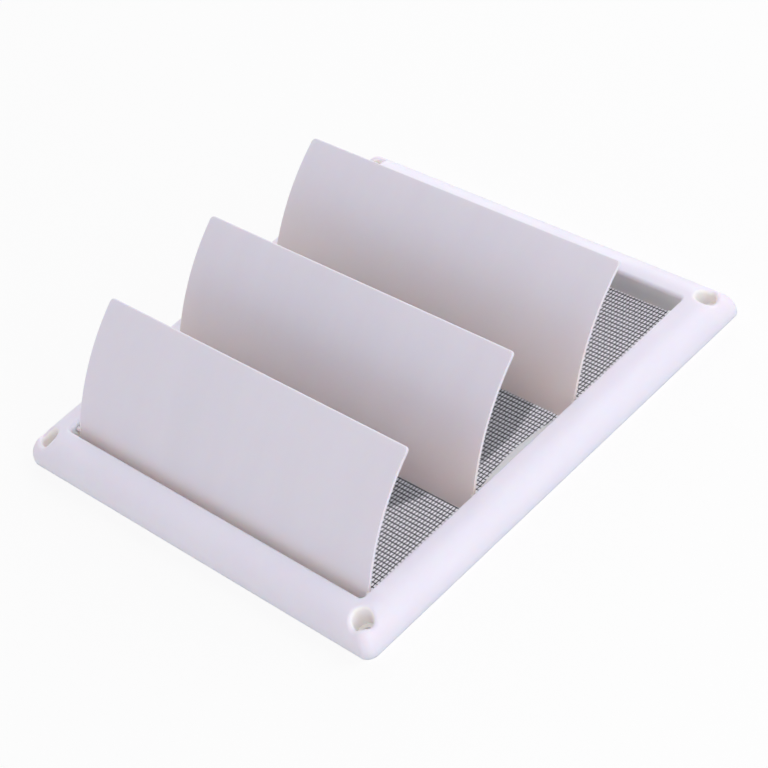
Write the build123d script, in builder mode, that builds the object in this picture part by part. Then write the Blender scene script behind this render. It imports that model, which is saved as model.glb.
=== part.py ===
"""Square wall vent with three gravity flaps and an insect screen, in millimetres.

The back face lies on Z = 0 and +Z points out of the wall. The flaps turn on pins along X.
When the vent is on a wall, the side at -Y is uppermost.
"""
import os
from math import asin, cos, hypot, radians, sin, sqrt

from build123d import *

# Frame
frame_size = 180.0
frame_height = 10.7
bar_width = 12.8
foot_height = 1.3
ridge_radius = 4.0
inner_edge_radius = 1.4
opening_corner_radius = 1.3
shell_wall = 2.2
pivot_wall = 4.2

# Screw holes
hole_inset = 7.5
hole_radius = 1.7
head_radius = 3.35
head_floor = 3.2
boss_wall = 2.75
rim_radius = 1.2

# Insect screen
screen_overlap = 1.2
screen_clearance = 0.1
screen_recess = 0.8
screen_web = 0.3
screen_ridge = 0.15
ridge_width = 0.6
gap_columns = 6
gap_rows = 5
screen_bar = 3.0

# Ledge that holds the screen down, with its wide bow at mid side
ledge_width = 2.2
ledge_thickness = 0.8
bow_depth = 10.2
bow_radius = 68.0

# Flaps
flap_count = 3
flap_radius = 92.7
flap_thickness = 1.0
flap_side_gap = 1.2
flap_wall_gap = 0.49
flap_tip_gap = 0.12
pivot_slopes = (62.93, 62.73, 59.03)
free_corner_radius = 1.6
tail_length = 6.26

# Pivots
pin_radius = 1.0
pin_clearance = 0.06
pin_grip = 2.7
pin_end_gap = 0.3
pin_root = 0.6
pivot_height = 7.8
tail_clearance = 0.8
slot_lip = 0.5
stop_length = 1.8
stop_inset = 5.89

# Derived sizes
half = frame_size / 2
opening_half = half - bar_width
round_radius = frame_height - foot_height
ledge_top = screen_recess + ledge_thickness
flap_half = opening_half - flap_side_gap
tail_angle = tail_length / flap_radius


def on_flap(angle, rise):
    """Point of the flap's section, from its pivot: x along the flap there, y towards the convex side."""
    radius = flap_radius + rise
    return (radius * sin(angle), radius * cos(angle) - flap_radius)


foot_point = on_flap(-tail_angle, flap_thickness / 2)
first_slope = radians(pivot_slopes[0])
foot_reach = foot_point[1] * sin(first_slope) - foot_point[0] * cos(first_slope)
first_pivot = -opening_half + flap_wall_gap + foot_reach
stop_y = opening_half - stop_inset
flap_pitch = (stop_y - first_pivot) / flap_count
pivot_y = [first_pivot + k * flap_pitch for k in range(flap_count)]
flap_reach = flap_pitch - flap_tip_gap
reach_angle = 2 * asin(flap_reach / 2 / flap_radius)


def ring_corners(inset):
    """The four places that lie the same distance in from both outer faces."""
    return [(sx * (half - inset), sy * (half - inset)) for sx in (-1, 1) for sy in (-1, 1)]


def domed_section(plane, radius):
    """Section right across the frame: straight foot, round shoulders of the given radius, flat top."""
    reach = half - round_radius
    side = reach + radius
    top = foot_height + radius
    lean = radius * sqrt(0.5)
    with BuildSketch(plane) as section:
        with BuildLine():
            Polyline((-side, foot_height), (-side, 0), (side, 0), (side, foot_height))
            ThreePointArc((side, foot_height), (reach + lean, foot_height + lean), (reach, top))
            Line((reach, top), (-reach, top))
            ThreePointArc((-reach, top), (-reach - lean, foot_height + lean), (-side, foot_height))
        make_face()
    return section.sketch


def hollow_section(plane, radius):
    """The same section for the hollow back, with flat facets in place of the rounds."""
    reach = half - round_radius
    side = reach + radius
    top = foot_height + radius
    lean = radius * sqrt(0.5)
    with BuildSketch(plane) as section:
        with BuildLine():
            Polyline(
                (0, top), (-reach, top), (-reach - lean, foot_height + lean), (-side, foot_height), (-side, 0),
                (side, 0), (side, foot_height), (reach + lean, foot_height + lean), (reach, top), close=True,
            )
        make_face()
    return section.sketch


os.makedirs("parts", exist_ok=True)

# Hollow back of the bars
with BuildPart() as hollow:
    extrude(hollow_section(Plane.XZ, round_radius - shell_wall), amount=half, both=True)
    extrude(hollow_section(Plane.YZ, round_radius - shell_wall), amount=half, both=True, mode=Mode.INTERSECT)
    with BuildSketch():
        Rectangle(2 * (opening_half + pivot_wall), 2 * (opening_half + shell_wall))
    extrude(amount=frame_height, mode=Mode.SUBTRACT)
    with BuildSketch():
        with Locations(*ring_corners(hole_inset)):
            Circle(head_radius + boss_wall)
    extrude(amount=frame_height, mode=Mode.SUBTRACT)

# Moulded frame
with BuildPart() as frame:
    extrude(domed_section(Plane.XZ, round_radius), amount=half, both=True)
    extrude(domed_section(Plane.YZ, round_radius), amount=half, both=True, mode=Mode.INTERSECT)
    ridges = frame.edges().filter_by(lambda e: abs(abs(e.center().X) - abs(e.center().Y)) < 0.001)
    fillet(ridges, ridge_radius)
    with BuildSketch():
        RectangleRounded(2 * opening_half, 2 * opening_half, opening_corner_radius)
    extrude(amount=frame_height, mode=Mode.SUBTRACT)
    inner_top = frame.edges().filter_by_position(Axis.Z, frame_height - 0.01, frame_height + 0.01)
    inner_top = inner_top.filter_by(lambda e: max(abs(e.center().X), abs(e.center().Y)) < opening_half + 0.01)
    fillet(inner_top, inner_edge_radius)
    add(hollow.part, mode=Mode.SUBTRACT)
    # Ledges along both sides, each with a wide bow at its middle
    with BuildSketch(Plane.XY.offset(screen_recess)):
        for side in (-1, 1):
            with Locations((side * (opening_half - ledge_width / 2), 0)):
                Rectangle(ledge_width, 2 * opening_half)
    extrude(amount=ledge_thickness)
    for side in (-1, 1):
        with BuildSketch(Plane.XY.offset(screen_recess)):
            with Locations((side * (opening_half - bow_depth + bow_radius), 0)):
                Circle(bow_radius)
            with Locations((side * (opening_half - bow_depth / 2), 0)):
                Rectangle(bow_depth, 2 * opening_half, mode=Mode.INTERSECT)
        extrude(amount=ledge_thickness)
    # Recess in the back for the screen
    recess = 2 * (opening_half + screen_overlap)
    with BuildSketch():
        Rectangle(recess, recess)
    extrude(amount=screen_recess, mode=Mode.SUBTRACT)
    # Slot in the upper bar where the first flap's tail swings
    tail_reach = tail_length + tail_clearance
    slot_depth = tail_reach - first_pivot - opening_half
    with BuildSketch(Plane.XY.offset(ledge_top + slot_lip)):
        with Locations((0, -opening_half + (opening_corner_radius - slot_depth) / 2)):
            Rectangle(2 * opening_half, slot_depth + opening_corner_radius)
    extrude(amount=pivot_height + flap_thickness - ledge_top - slot_lip, mode=Mode.SUBTRACT)
    # Sockets for the flap pins, and pegs under the last flap's free edge
    for side in (-1, 1):
        with BuildSketch(Plane.YZ.offset(side * opening_half)):
            with Locations(*[(y, pivot_height) for y in pivot_y]):
                Circle(pin_radius + pin_clearance)
        extrude(amount=side * (pin_grip + pin_end_gap), mode=Mode.SUBTRACT)
        with BuildSketch(Plane.YZ.offset(side * opening_half)):
            with Locations((stop_y, pivot_height)):
                Circle(pin_radius)
        extrude(amount=-side * stop_length)
    # Screw holes with a deep recess for the head
    with BuildSketch():
        with Locations(*ring_corners(hole_inset)):
            Circle(hole_radius)
    extrude(amount=frame_height, mode=Mode.SUBTRACT)
    with BuildSketch(Plane.XY.offset(head_floor)):
        with Locations(*ring_corners(hole_inset)):
            Circle(head_radius)
    extrude(amount=frame_height, mode=Mode.SUBTRACT)
    rims = frame.edges().filter_by(
        lambda e: min(hypot(e.center().X - x, e.center().Y - y) for x, y in ring_corners(hole_inset)) < head_radius
        and e.center().Z > head_floor + rim_radius
        and e.geom_type != GeomType.LINE
    )
    fillet(rims, rim_radius)

frame.part.label = "frame"
export_step(frame.part, "parts/frame.step")

# Insect screen: one thin wall with ridges on both faces and open gaps
with BuildPart() as insect_screen:
    screen_size = recess - 2 * screen_clearance
    screen_low = screen_recess - screen_web - 2 * screen_ridge
    column = 2 * opening_half / gap_columns
    row = 2 * opening_half / gap_rows
    with BuildSketch(Plane.XY.offset(screen_low + screen_ridge)):
        Rectangle(screen_size, screen_size)
        with GridLocations(column, row, gap_columns, gap_rows):
            Rectangle(column - screen_bar, row - screen_bar, mode=Mode.SUBTRACT)
    extrude(amount=screen_web)
    with BuildSketch(Plane.XY.offset(screen_recess - screen_ridge)):
        Rectangle(screen_size, screen_size)
        Rectangle(2 * opening_half, 2 * opening_half, mode=Mode.SUBTRACT)
    extrude(amount=screen_ridge)
    with BuildSketch(Plane.XY.offset(screen_recess - screen_ridge)):
        with GridLocations(0, row, 1, gap_rows - 1):
            Rectangle(2 * opening_half, ridge_width)
    extrude(amount=screen_ridge)
    with BuildSketch(Plane.XY.offset(screen_low)):
        with GridLocations(column, 0, gap_columns - 1, 1):
            Rectangle(ridge_width, 2 * opening_half)
    extrude(amount=screen_ridge)

insect_screen.part.label = "insect_screen"
export_step(insect_screen.part, "parts/insect_screen.step")


def flap_plane(index):
    """Plane of a flap's section, at its pivot: x towards the free edge, y to the convex side."""
    slope = radians(pivot_slopes[index])
    return Plane(origin=(0, pivot_y[index], pivot_height), x_dir=(0, cos(slope), sin(slope)), z_dir=(1, 0, 0))


def build_flap(name, index):
    """One curved flap with rounded free corners and a pin at each end."""
    section = flap_plane(index)
    outside = flap_thickness / 2
    inside = -flap_thickness / 2
    middle = (reach_angle - tail_angle) / 2
    tip_angle = reach_angle + flap_thickness / 2 / flap_radius
    with BuildPart() as flap:
        with BuildSketch(section):
            with BuildLine():
                ThreePointArc(on_flap(-tail_angle, outside), on_flap(middle, outside), on_flap(reach_angle, outside))
                ThreePointArc(on_flap(reach_angle, outside), on_flap(tip_angle, 0), on_flap(reach_angle, inside))
                ThreePointArc(on_flap(reach_angle, inside), on_flap(middle, inside), on_flap(-tail_angle, inside))
                Line(on_flap(-tail_angle, inside), on_flap(-tail_angle, outside))
            make_face()
        extrude(amount=flap_half, both=True)
        # Rounded free corners, seen square on to the chord
        foot = Vector(*on_flap(-tail_angle, 0))
        tip = Vector(*on_flap(tip_angle, 0))
        chord = (tip - foot).length
        along = (section.x_dir * (tip.X - foot.X) + section.y_dir * (tip.Y - foot.Y)).normalized()
        start = section.origin + section.x_dir * foot.X + section.y_dir * foot.Y
        facing = Plane(origin=start, x_dir=(1, 0, 0), z_dir=section.z_dir.cross(along))
        with BuildSketch(facing.offset(-chord / 2)) as outline:
            with Locations((0, (chord - flap_thickness) / 2)):
                Rectangle(2 * flap_half, chord + flap_thickness)
            fillet(outline.vertices().group_by(Axis.Y)[-1], free_corner_radius)
        extrude(amount=chord, mode=Mode.INTERSECT)
        for side in (-1, 1):
            with BuildSketch(Plane.YZ.offset(side * (flap_half - pin_root))):
                with Locations((pivot_y[index], pivot_height)):
                    Circle(pin_radius)
            extrude(amount=side * (pin_root + flap_side_gap + pin_grip))
    flap.part.label = name
    export_step(flap.part, f"parts/{name}.step")
    return flap


upper_flap = build_flap("upper_flap", 0)
middle_flap = build_flap("middle_flap", 1)
lower_flap = build_flap("lower_flap", 2)
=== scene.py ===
"""Looks of the square wall vent with gravity flaps, in metres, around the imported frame."""

import bpy
import numpy as np
from mathutils import Matrix, Vector


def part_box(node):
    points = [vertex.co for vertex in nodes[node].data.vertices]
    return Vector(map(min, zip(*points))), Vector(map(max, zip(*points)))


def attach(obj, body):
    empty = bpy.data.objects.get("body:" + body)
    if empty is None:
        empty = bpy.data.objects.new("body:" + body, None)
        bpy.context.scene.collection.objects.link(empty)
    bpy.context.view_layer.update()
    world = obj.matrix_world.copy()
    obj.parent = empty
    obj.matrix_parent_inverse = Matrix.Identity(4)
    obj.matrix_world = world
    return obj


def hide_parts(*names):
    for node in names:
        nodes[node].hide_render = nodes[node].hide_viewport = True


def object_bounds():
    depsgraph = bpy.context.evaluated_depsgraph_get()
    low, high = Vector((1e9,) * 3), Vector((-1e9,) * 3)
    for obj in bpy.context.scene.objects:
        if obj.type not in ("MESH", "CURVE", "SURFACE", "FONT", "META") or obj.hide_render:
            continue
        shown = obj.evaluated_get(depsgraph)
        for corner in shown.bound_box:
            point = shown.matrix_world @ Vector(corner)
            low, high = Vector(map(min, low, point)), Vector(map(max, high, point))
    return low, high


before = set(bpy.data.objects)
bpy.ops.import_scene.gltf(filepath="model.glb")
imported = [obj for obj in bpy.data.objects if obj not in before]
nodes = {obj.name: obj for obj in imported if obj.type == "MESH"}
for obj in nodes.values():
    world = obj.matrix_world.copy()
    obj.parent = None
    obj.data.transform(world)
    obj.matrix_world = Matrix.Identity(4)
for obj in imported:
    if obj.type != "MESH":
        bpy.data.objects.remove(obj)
cad_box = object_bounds()

# Sizes that follow from the frame
frame_half = cad_box[1][0]
bar_width = 0.0128
hole_inset = 0.0075
opening_half = frame_half - bar_width
hole_place = frame_half - hole_inset

# Range of values that a noise mostly takes
noise_low = 0.3
noise_high = 0.7


# Material helpers
def material(name):
    """A new node material with its shader and an object-space coordinate."""
    made = bpy.data.materials.new(name)
    made.use_nodes = True
    tree = made.node_tree
    shader = tree.nodes["Principled BSDF"]
    where = tree.nodes.new("ShaderNodeTexCoord")
    return made, tree, shader, where.outputs["Object"]


def noise(tree, where, scale, detail=2.0, roughness=0.5, stretch=None):
    """Noise at a scale in features per metre, stretched along the axes if asked."""
    if stretch:
        mapping = tree.nodes.new("ShaderNodeMapping")
        mapping.inputs["Scale"].default_value = stretch
        tree.links.new(where, mapping.inputs["Vector"])
        where = mapping.outputs["Vector"]
    made = tree.nodes.new("ShaderNodeTexNoise")
    made.inputs["Scale"].default_value = scale
    made.inputs["Detail"].default_value = detail
    made.inputs["Roughness"].default_value = roughness
    tree.links.new(where, made.inputs["Vector"])
    return made.outputs["Fac"]


def ramp(tree, value, dark, light, low=noise_low, high=noise_high):
    """Colour that goes from dark to light as the value goes from low to high."""
    made = tree.nodes.new("ShaderNodeValToRGB")
    made.color_ramp.elements[0].position = low
    made.color_ramp.elements[1].position = high
    made.color_ramp.elements[0].color = (*dark, 1)
    made.color_ramp.elements[1].color = (*light, 1)
    tree.links.new(value, made.inputs["Fac"])
    return made.outputs["Color"]


def spread(tree, value, least, most):
    """A noise's usual range mapped to least and most."""
    made = tree.nodes.new("ShaderNodeMapRange")
    made.inputs["From Min"].default_value = noise_low
    made.inputs["From Max"].default_value = noise_high
    made.inputs["To Min"].default_value = least
    made.inputs["To Max"].default_value = most
    tree.links.new(value, made.inputs["Value"])
    return made.outputs["Result"]


def bump(tree, shader, heights):
    """Stacked bumps, each a height value with its depth in metres and strength."""
    normal = None
    for value, depth, strength in heights:
        made = tree.nodes.new("ShaderNodeBump")
        made.inputs["Distance"].default_value = depth
        made.inputs["Strength"].default_value = strength
        tree.links.new(value, made.inputs["Height"])
        if normal:
            tree.links.new(normal, made.inputs["Normal"])
        normal = made.outputs["Normal"]
    tree.links.new(normal, shader.inputs["Normal"])


def math(tree, operation, first, second=0):
    """One step of arithmetic on values or numbers."""
    made = tree.nodes.new("ShaderNodeMath")
    made.operation = operation
    for socket, value in zip(made.inputs, (first, second)):
        if isinstance(value, (int, float)):
            socket.default_value = value
        else:
            tree.links.new(value, socket)
    return made.outputs["Value"]


def fade(tree, value, low, high):
    """Smooth step from nothing at low to all at high."""
    made = tree.nodes.new("ShaderNodeMapRange")
    made.interpolation_type = "SMOOTHSTEP"
    made.inputs["From Min"].default_value = low
    made.inputs["From Max"].default_value = high
    tree.links.new(value, made.inputs["Value"])
    return made.outputs["Result"]


def blended(tree, share, first, second):
    """Mix of two colours, all of the second where the share is one."""
    made = tree.nodes.new("ShaderNodeMix")
    made.data_type = "RGBA"
    tree.links.new(share, made.inputs["Factor"])
    for socket, colour in ((made.inputs[6], first), (made.inputs[7], second)):
        if isinstance(colour, tuple):
            socket.default_value = (*colour, 1)
        else:
            tree.links.new(colour, socket)
    return made.outputs[2]


def axes(tree, where):
    """The three parts of a coordinate."""
    split = tree.nodes.new("ShaderNodeSeparateXYZ")
    tree.links.new(where, split.inputs["Vector"])
    return split.outputs["X"], split.outputs["Y"], split.outputs["Z"]


def distance(tree, x, y):
    """Distance of a point from the origin of its plane."""
    squares = math(tree, "ADD", math(tree, "MULTIPLY", x, x), math(tree, "MULTIPLY", y, y))
    return math(tree, "SQRT", squares)


# White moulded plastic of the frame and the flaps
head_radius = 0.00335
wall_fade = (0.0004, 0.0014)
hole_fade = (head_radius + 0.0001, head_radius + 0.0008)
mottling_scale = 38.0
sheen_scale = 90.0
sink_scale = 24.0
sink_depth = 0.00025
sink_strength = 0.25
skin_scale = 2600.0
skin_depth = 0.00003
skin_strength = 0.12


def off_recesses(tree, x, y, plain):
    """The plain share, free of the painted light, as it was in the opening, full out on the bars, and
    nothing in the screw holes.
    """
    x = math(tree, "ABSOLUTE", x)
    y = math(tree, "ABSOLUTE", y)
    from_wall = math(tree, "SUBTRACT", math(tree, "MAXIMUM", x, y), opening_half)
    plain = math(tree, "MAXIMUM", plain, fade(tree, from_wall, *wall_fade))
    from_x = math(tree, "SUBTRACT", x, hole_place)
    from_y = math(tree, "SUBTRACT", y, hole_place)
    from_hole = distance(tree, from_x, from_y)
    return math(tree, "MINIMUM", plain, fade(tree, from_hole, *hole_fade))


def moulded(name, dark, light, rough, flow, glow, painted_foot_shading, painted_shading_low, painted_shading_high, recesses=False):
    """White moulded plastic: faint flow mottling, satin sheen that varies, and a fine skin.

    The foot is a warmer colour of painted shading, standing in for warm light bounced near the feet and
    into
    the recesses: painted shade on the middle and lower flaps, painted light on the upper flap and the
    frame.
    It fades out between two heights of the rest pose. With recesses, only the opening's walls and ledges
    and the screw holes take it.
    """
    made, tree, shader, where = material(name)
    mottling = noise(tree, where, mottling_scale, detail=3.0, roughness=0.55, stretch=flow)
    sheen = noise(tree, where, sheen_scale, detail=3.0, roughness=0.6)
    sink = noise(tree, where, sink_scale, detail=1.0, roughness=0.4, stretch=flow)
    skin = noise(tree, where, skin_scale, detail=2.0, roughness=0.6)
    x, y, z = axes(tree, where)
    # Painted shading: below these heights the warm foot colour shows instead of the plain one.
    plain = fade(tree, z, painted_shading_low, painted_shading_high)
    if recesses:
        plain = off_recesses(tree, x, y, plain)
    colour = blended(tree, plain, painted_foot_shading, ramp(tree, mottling, dark, light))
    tree.links.new(colour, shader.inputs["Base Color"])
    tree.links.new(spread(tree, sheen, *rough), shader.inputs["Roughness"])
    shader.inputs["IOR"].default_value = 1.5
    shader.inputs["Specular IOR Level"].default_value = 0.42
    shader.inputs["Subsurface Weight"].default_value = 0.6
    shader.inputs["Subsurface Radius"].default_value = (1.0, 0.62, 0.45)
    shader.inputs["Subsurface Scale"].default_value = glow
    bump(tree, shader, [(sink, sink_depth, sink_strength), (skin, skin_depth, skin_strength)])
    return made


# Painted light: the opening's walls, ledges and screw holes are painted lighter and warmer than the bars.
frame_plastic = moulded(
    "frame_plastic",
    dark=(0.852, 0.80, 0.90),
    light=(0.872, 0.82, 0.92),
    rough=(0.36, 0.46),
    flow=(1, 1, 1),
    glow=0.004,
    painted_foot_shading=(0.985, 0.925, 0.91),
    painted_shading_low=0.0085,
    painted_shading_high=0.0107,
    recesses=True,
)
flap_look = {
    "dark": (0.788, 0.762, 0.842),
    "light": (0.808, 0.781, 0.862),
    "rough": (0.38, 0.5),
    "flow": (1.6, 0.3, 0.3),
    "glow": 0.0012,
}
# Painted light: the upper flap's foot is painted lighter and warmer.
upper_plastic = moulded(
    "upper_plastic",
    painted_foot_shading=(0.94, 0.85, 0.83),
    painted_shading_low=0.004,
    painted_shading_high=0.014,
    **flap_look,
)
# Painted shade: the middle and lower flaps' feet are painted darker and warmer.
flap_plastic = moulded(
    "flap_plastic",
    painted_foot_shading=(0.80, 0.725, 0.71),
    painted_shading_low=0.007,
    painted_shading_high=0.038,
    **flap_look,
)

finishes = {
    "frame": frame_plastic,
    "upper_flap": upper_plastic,
    "middle_flap": flap_plastic,
    "lower_flap": flap_plastic,
}
for node, plastic in finishes.items():
    nodes[node].data.materials.clear()
    nodes[node].data.materials.append(plastic)


# Insect screen, woven wire by wire
screen_low, screen_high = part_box("insect_screen")
screen_level = (screen_low[2] + screen_high[2]) / 2
screen_margin = 0.0003
screen_half = screen_high[0] - screen_margin
warp_pitch = 0.00135
weft_pitch = 0.00158
wire_radius = 0.000174
wave_height = 0.6 * wire_radius
yarn_dark = (0.004, 0.003, 0.006)
yarn_light = (0.013, 0.010, 0.017)
coating_scale = 420.0
rib_scale = 5200.0
rib_depth = 0.00002
rib_strength = 0.2


def yarn_material():
    """Dark coated screen yarn: uneven coating, a dull sheen and a ribbed skin."""
    made, tree, shader, where = material("screen_yarn")
    coating = noise(tree, where, coating_scale, detail=3.0, roughness=0.6)
    ribs = noise(tree, where, rib_scale, detail=1.0, roughness=0.5)
    tree.links.new(ramp(tree, coating, yarn_dark, yarn_light), shader.inputs["Base Color"])
    tree.links.new(spread(tree, coating, 0.42, 0.62), shader.inputs["Roughness"])
    shader.inputs["Specular IOR Level"].default_value = 0.15
    bump(tree, shader, [(ribs, rib_depth, rib_strength)])
    return made


def woven(name, along_y, pitch, cross_pitch, yarn):
    """One set of the screen's wires, each passing over and under the other set."""
    count = int(2 * screen_half / pitch)
    crossings = int(2 * screen_half / cross_pitch)
    rings = 2 * crossings + 1
    points = np.zeros((count, rings, 4, 3))
    run = (np.arange(rings) - crossings) * cross_pitch / 2
    crossing = np.arange(rings) // 2
    for k in range(count):
        across = (k - (count - 1) / 2) * pitch
        phase = np.where(np.arange(rings) % 2 == 1, (-1.0) ** (crossing + k), 0.0)
        height = screen_level + phase * (wave_height if along_y else -wave_height)
        for j, (dw, dz) in enumerate(((1, 0), (0, 1), (-1, 0), (0, -1))):
            points[k, :, j, 0 if along_y else 1] = across + dw * wire_radius
            points[k, :, j, 1 if along_y else 0] = run
            points[k, :, j, 2] = height + dz * wire_radius
    index = np.arange(count * rings * 4).reshape(count, rings, 4)
    here, there = index[:, :-1], index[:, 1:]
    near, far = np.roll(here, -1, axis=2), np.roll(there, -1, axis=2)
    faces = np.stack([here, near, far, there], axis=-1).reshape(-1, 4)
    if along_y:
        faces = faces[:, ::-1]
    mesh = bpy.data.meshes.new(name)
    mesh.from_pydata(points.reshape(-1, 3).tolist(), [], faces.tolist())
    mesh.polygons.foreach_set("use_smooth", np.ones(len(faces), dtype=bool))
    mesh.materials.append(yarn)
    made = bpy.data.objects.new(name, mesh)
    bpy.context.scene.collection.objects.link(made)
    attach(made, "housing")
    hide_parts("insect_screen")


screen_yarn = yarn_material()
woven("screen_warp", True, warp_pitch, weft_pitch, screen_yarn)
woven("screen_weft", False, weft_pitch, warp_pitch, screen_yarn)


# Back plate behind the screen, with the round opening for the duct
plate_margin = 0.0001
plate_half = screen_high[0] - plate_margin
plate_low = 0.00002
plate_high = 0.00017
duct_radius = 0.0607
edge_points = 128
plate_dark = (0.90, 0.87, 0.94)
plate_light = (0.93, 0.90, 0.97)
plate_sink_depth = 0.0002
plate_sink_strength = 0.2


def milky_plastic():
    """Thin white plastic that lets most of the light through, so that the fully glowing floor under it
    shows as painted light on the plate.
    """
    made, tree, shader, where = material("plate_plastic")
    mottling = noise(tree, where, mottling_scale, detail=3.0, roughness=0.55)
    sheen = noise(tree, where, sheen_scale, detail=3.0, roughness=0.6)
    sink = noise(tree, where, sink_scale, detail=1.0, roughness=0.4)
    tree.links.new(ramp(tree, mottling, plate_dark, plate_light), shader.inputs["Base Color"])
    tree.links.new(spread(tree, sheen, 0.4, 0.5), shader.inputs["Roughness"])
    shader.inputs["IOR"].default_value = 1.45
    shader.inputs["Specular IOR Level"].default_value = 0.2
    shader.inputs["Transmission Weight"].default_value = 0.84
    bump(tree, shader, [(sink, plate_sink_depth, plate_sink_strength)])
    return made


def back_plate():
    """Square plate with a round hole, as rings of points from the hole's edge to the square's."""
    angle = np.arange(edge_points) * 2 * np.pi / edge_points
    hole = duct_radius * np.stack([np.cos(angle), np.sin(angle)], axis=1)
    square = hole * (plate_half / np.abs(hole).max(axis=1, keepdims=True))
    rings = [(hole, plate_low), (hole, plate_high), (square, plate_high), (square, plate_low)]
    points = np.concatenate([np.column_stack([edge, np.full(edge_points, z)]) for edge, z in rings])
    here = np.arange(len(points)).reshape(len(rings), edge_points)
    there = np.roll(here, -1, axis=0)
    corners = [here, there, np.roll(there, -1, axis=1), np.roll(here, -1, axis=1)]
    faces = np.stack(corners, axis=-1).reshape(-1, 4)
    mesh = bpy.data.meshes.new("back_plate")
    mesh.from_pydata(points.tolist(), [], faces.tolist())
    mesh.materials.append(milky_plastic())
    made = bpy.data.objects.new("back_plate", mesh)
    bpy.context.scene.collection.objects.link(made)
    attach(made, "housing")


back_plate()


# Floor, with the share of it that shows as plain white in three places
floor_reach = 6.0
floor_drop = 0.00006
floor_scale = 3.0
duct_glow = 0.12
# Painted light: the floor under the plate glows fully white and shows through the plate.
plate_glow = 1.0
open_glow = 0.8
duct_fade = 0.0004
plate_fade = 0.008
duct_shade = (0.93, 0.925, 0.98)


def seen(tree):
    """One for rays that show the backdrop itself, and nothing for the light that falls on the object."""
    path = tree.nodes.new("ShaderNodeLightPath")
    value = path.outputs["Is Camera Ray"]
    for kind in ("Is Glossy Ray", "Is Transmission Ray"):
        value = math(tree, "MAXIMUM", value, path.outputs[kind])
    return value


def floor_paper():
    """Pale paper, of which a share shows as plain white: least in the duct opening, all under the plate."""
    made, tree, shader, where = material("floor_paper")
    tone = noise(tree, where, floor_scale)
    grey = ramp(tree, tone, (0.79, 0.785, 0.77), (0.81, 0.805, 0.79), low=0.2, high=0.8)
    white = ramp(tree, tone, (0.99, 0.985, 0.965), (1.0, 0.995, 0.975), low=0.2, high=0.8)
    x, y = axes(tree, where)[:2]
    from_middle = math(tree, "MAXIMUM", math(tree, "ABSOLUTE", x), math(tree, "ABSOLUTE", y))
    past_plate = fade(tree, from_middle, plate_half, plate_half + plate_fade)
    past_duct = fade(tree, distance(tree, x, y), duct_radius - duct_fade, duct_radius)
    shown = seen(tree)
    white = blended(tree, past_duct, duct_shade, white)
    tree.links.new(blended(tree, shown, grey, white), shader.inputs["Base Color"])
    shader.inputs["Roughness"].default_value = 0.9
    shader.inputs["Specular IOR Level"].default_value = 0.0
    glow = tree.nodes.new("ShaderNodeEmission")
    tree.links.new(blended(tree, past_duct, duct_shade, (1.0, 1.0, 1.0)), glow.inputs["Color"])
    glow.inputs["Strength"].default_value = 1.0
    # Painted light: all of the floor under the plate glows, seen through the plate.
    under_plate = math(tree, "MULTIPLY", past_duct, plate_glow - duct_glow)
    around = math(tree, "MULTIPLY", past_plate, open_glow - plate_glow)
    share = math(tree, "ADD", math(tree, "ADD", under_plate, around), duct_glow)
    blend = tree.nodes.new("ShaderNodeMixShader")
    tree.links.new(math(tree, "MULTIPLY", share, shown), blend.inputs["Fac"])
    tree.links.new(shader.outputs["BSDF"], blend.inputs[1])
    tree.links.new(glow.outputs["Emission"], blend.inputs[2])
    tree.links.new(blend.outputs["Shader"], tree.nodes["Material Output"].inputs["Surface"])
    return made


def floor():
    """Level paper just under the object."""
    corners = [(-1, -1), (1, -1), (1, 1), (-1, 1)]
    points = [(x * floor_reach, y * floor_reach, 0) for x, y in corners]
    mesh = bpy.data.meshes.new("floor")
    mesh.from_pydata(points, [], [(0, 1, 2, 3)])
    mesh.materials.append(floor_paper())
    made = bpy.data.objects.new("floor", mesh)
    made.location.z = -floor_drop
    bpy.context.scene.collection.objects.link(made)


floor()


# Even light from all round, and a white backdrop for the rays that show it
ambient_colour = (0.985, 0.99, 1.03, 1)
ambient_level = 0.513


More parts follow.
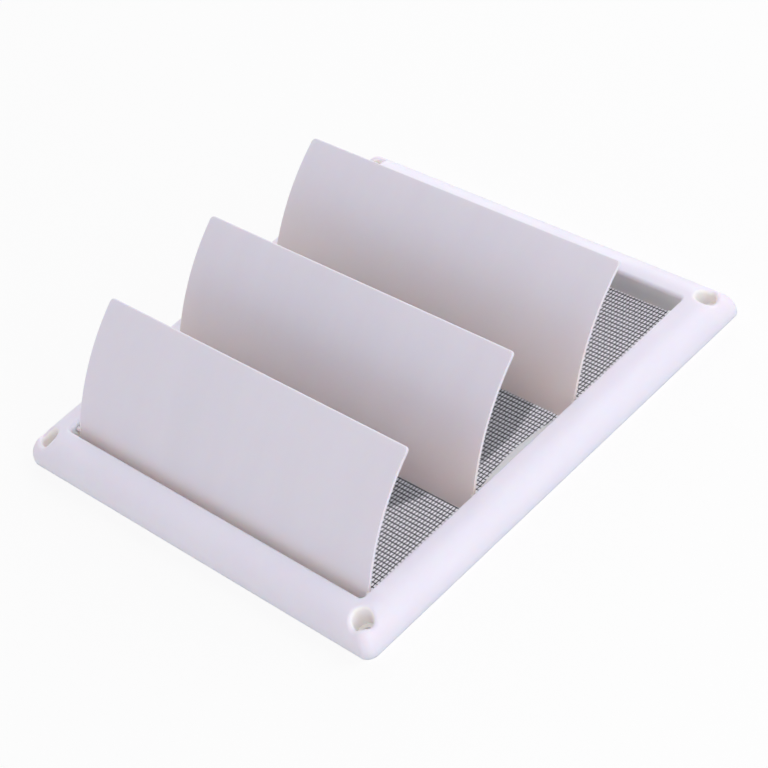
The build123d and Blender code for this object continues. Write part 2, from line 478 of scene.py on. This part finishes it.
def studio():
    """World that lights the object evenly and shows as white."""
    world = bpy.data.worlds.new("studio")
    bpy.context.scene.world = world
    world.use_nodes = True
    tree = world.node_tree
    ambient = tree.nodes["Background"]
    ambient.inputs["Color"].default_value = ambient_colour
    ambient.inputs["Strength"].default_value = ambient_level
    backdrop = tree.nodes.new("ShaderNodeBackground")
    backdrop.inputs["Color"].default_value = (1, 1, 1, 1)
    backdrop.inputs["Strength"].default_value = 1.0
    choose = tree.nodes.new("ShaderNodeMixShader")
    tree.links.new(seen(tree), choose.inputs["Fac"])
    tree.links.new(ambient.outputs["Background"], choose.inputs[1])
    tree.links.new(backdrop.outputs["Background"], choose.inputs[2])
    tree.links.new(choose.outputs["Shader"], tree.nodes["World Output"].inputs["Surface"])


studio()


# Lamps
lamp_target = Vector((0, 0, 0.02))
lamp_distance = 1.5
lamp_size = 0.9
lamp_colour = (0.985, 0.99, 1.0)


def area_light(name, azimuth, elevation, level):
    """Soft square lamp aimed at the object, where a level of one shows a colour as it is written."""
    lamp = bpy.data.lights.new(name, "AREA")
    lamp.shape = "SQUARE"
    lamp.size = lamp_size
    lamp.energy = level * (np.pi * lamp_distance) ** 2
    lamp.color = lamp_colour
    turn, rise = np.radians((azimuth, elevation))
    way = Vector((np.cos(turn) * np.cos(rise), np.sin(turn) * np.cos(rise), np.sin(rise)))
    made = bpy.data.objects.new(name, lamp)
    made.location = lamp_target + way * lamp_distance
    made.rotation_euler = way.to_track_quat("Z", "Y").to_euler()
    bpy.context.scene.collection.objects.link(made)


area_light("rim", 135, 20, 0.232)
area_light("key", 60, 35, 0.216)
area_light("side", 0, 15, 0.217)
area_light("fill", -30, 60, 0.181)
area_light("front", -90, 15, 0.09)


# Camera at the viewing angle of the photograph
camera_place = (0.596395, -0.342412, 0.564094)
camera_right = (0.66787, 0.68793, -0.28406)
camera_up = (-0.32602, 0.61351, 0.71925)
camera_back = (0.66907, -0.38775, 0.63403)

camera = bpy.data.cameras.new("camera")
camera.sensor_width = 36.0
camera.lens = 121.39
camera.clip_start = 0.01
eye = bpy.data.objects.new("camera", camera)
turned = Matrix((camera_right, camera_up, camera_back)).transposed().to_4x4()
eye.matrix_world = Matrix.Translation(camera_place) @ turned
bpy.context.scene.collection.objects.link(eye)
bpy.context.scene.camera = eye
bpy.context.scene.view_settings.view_transform = "Standard"
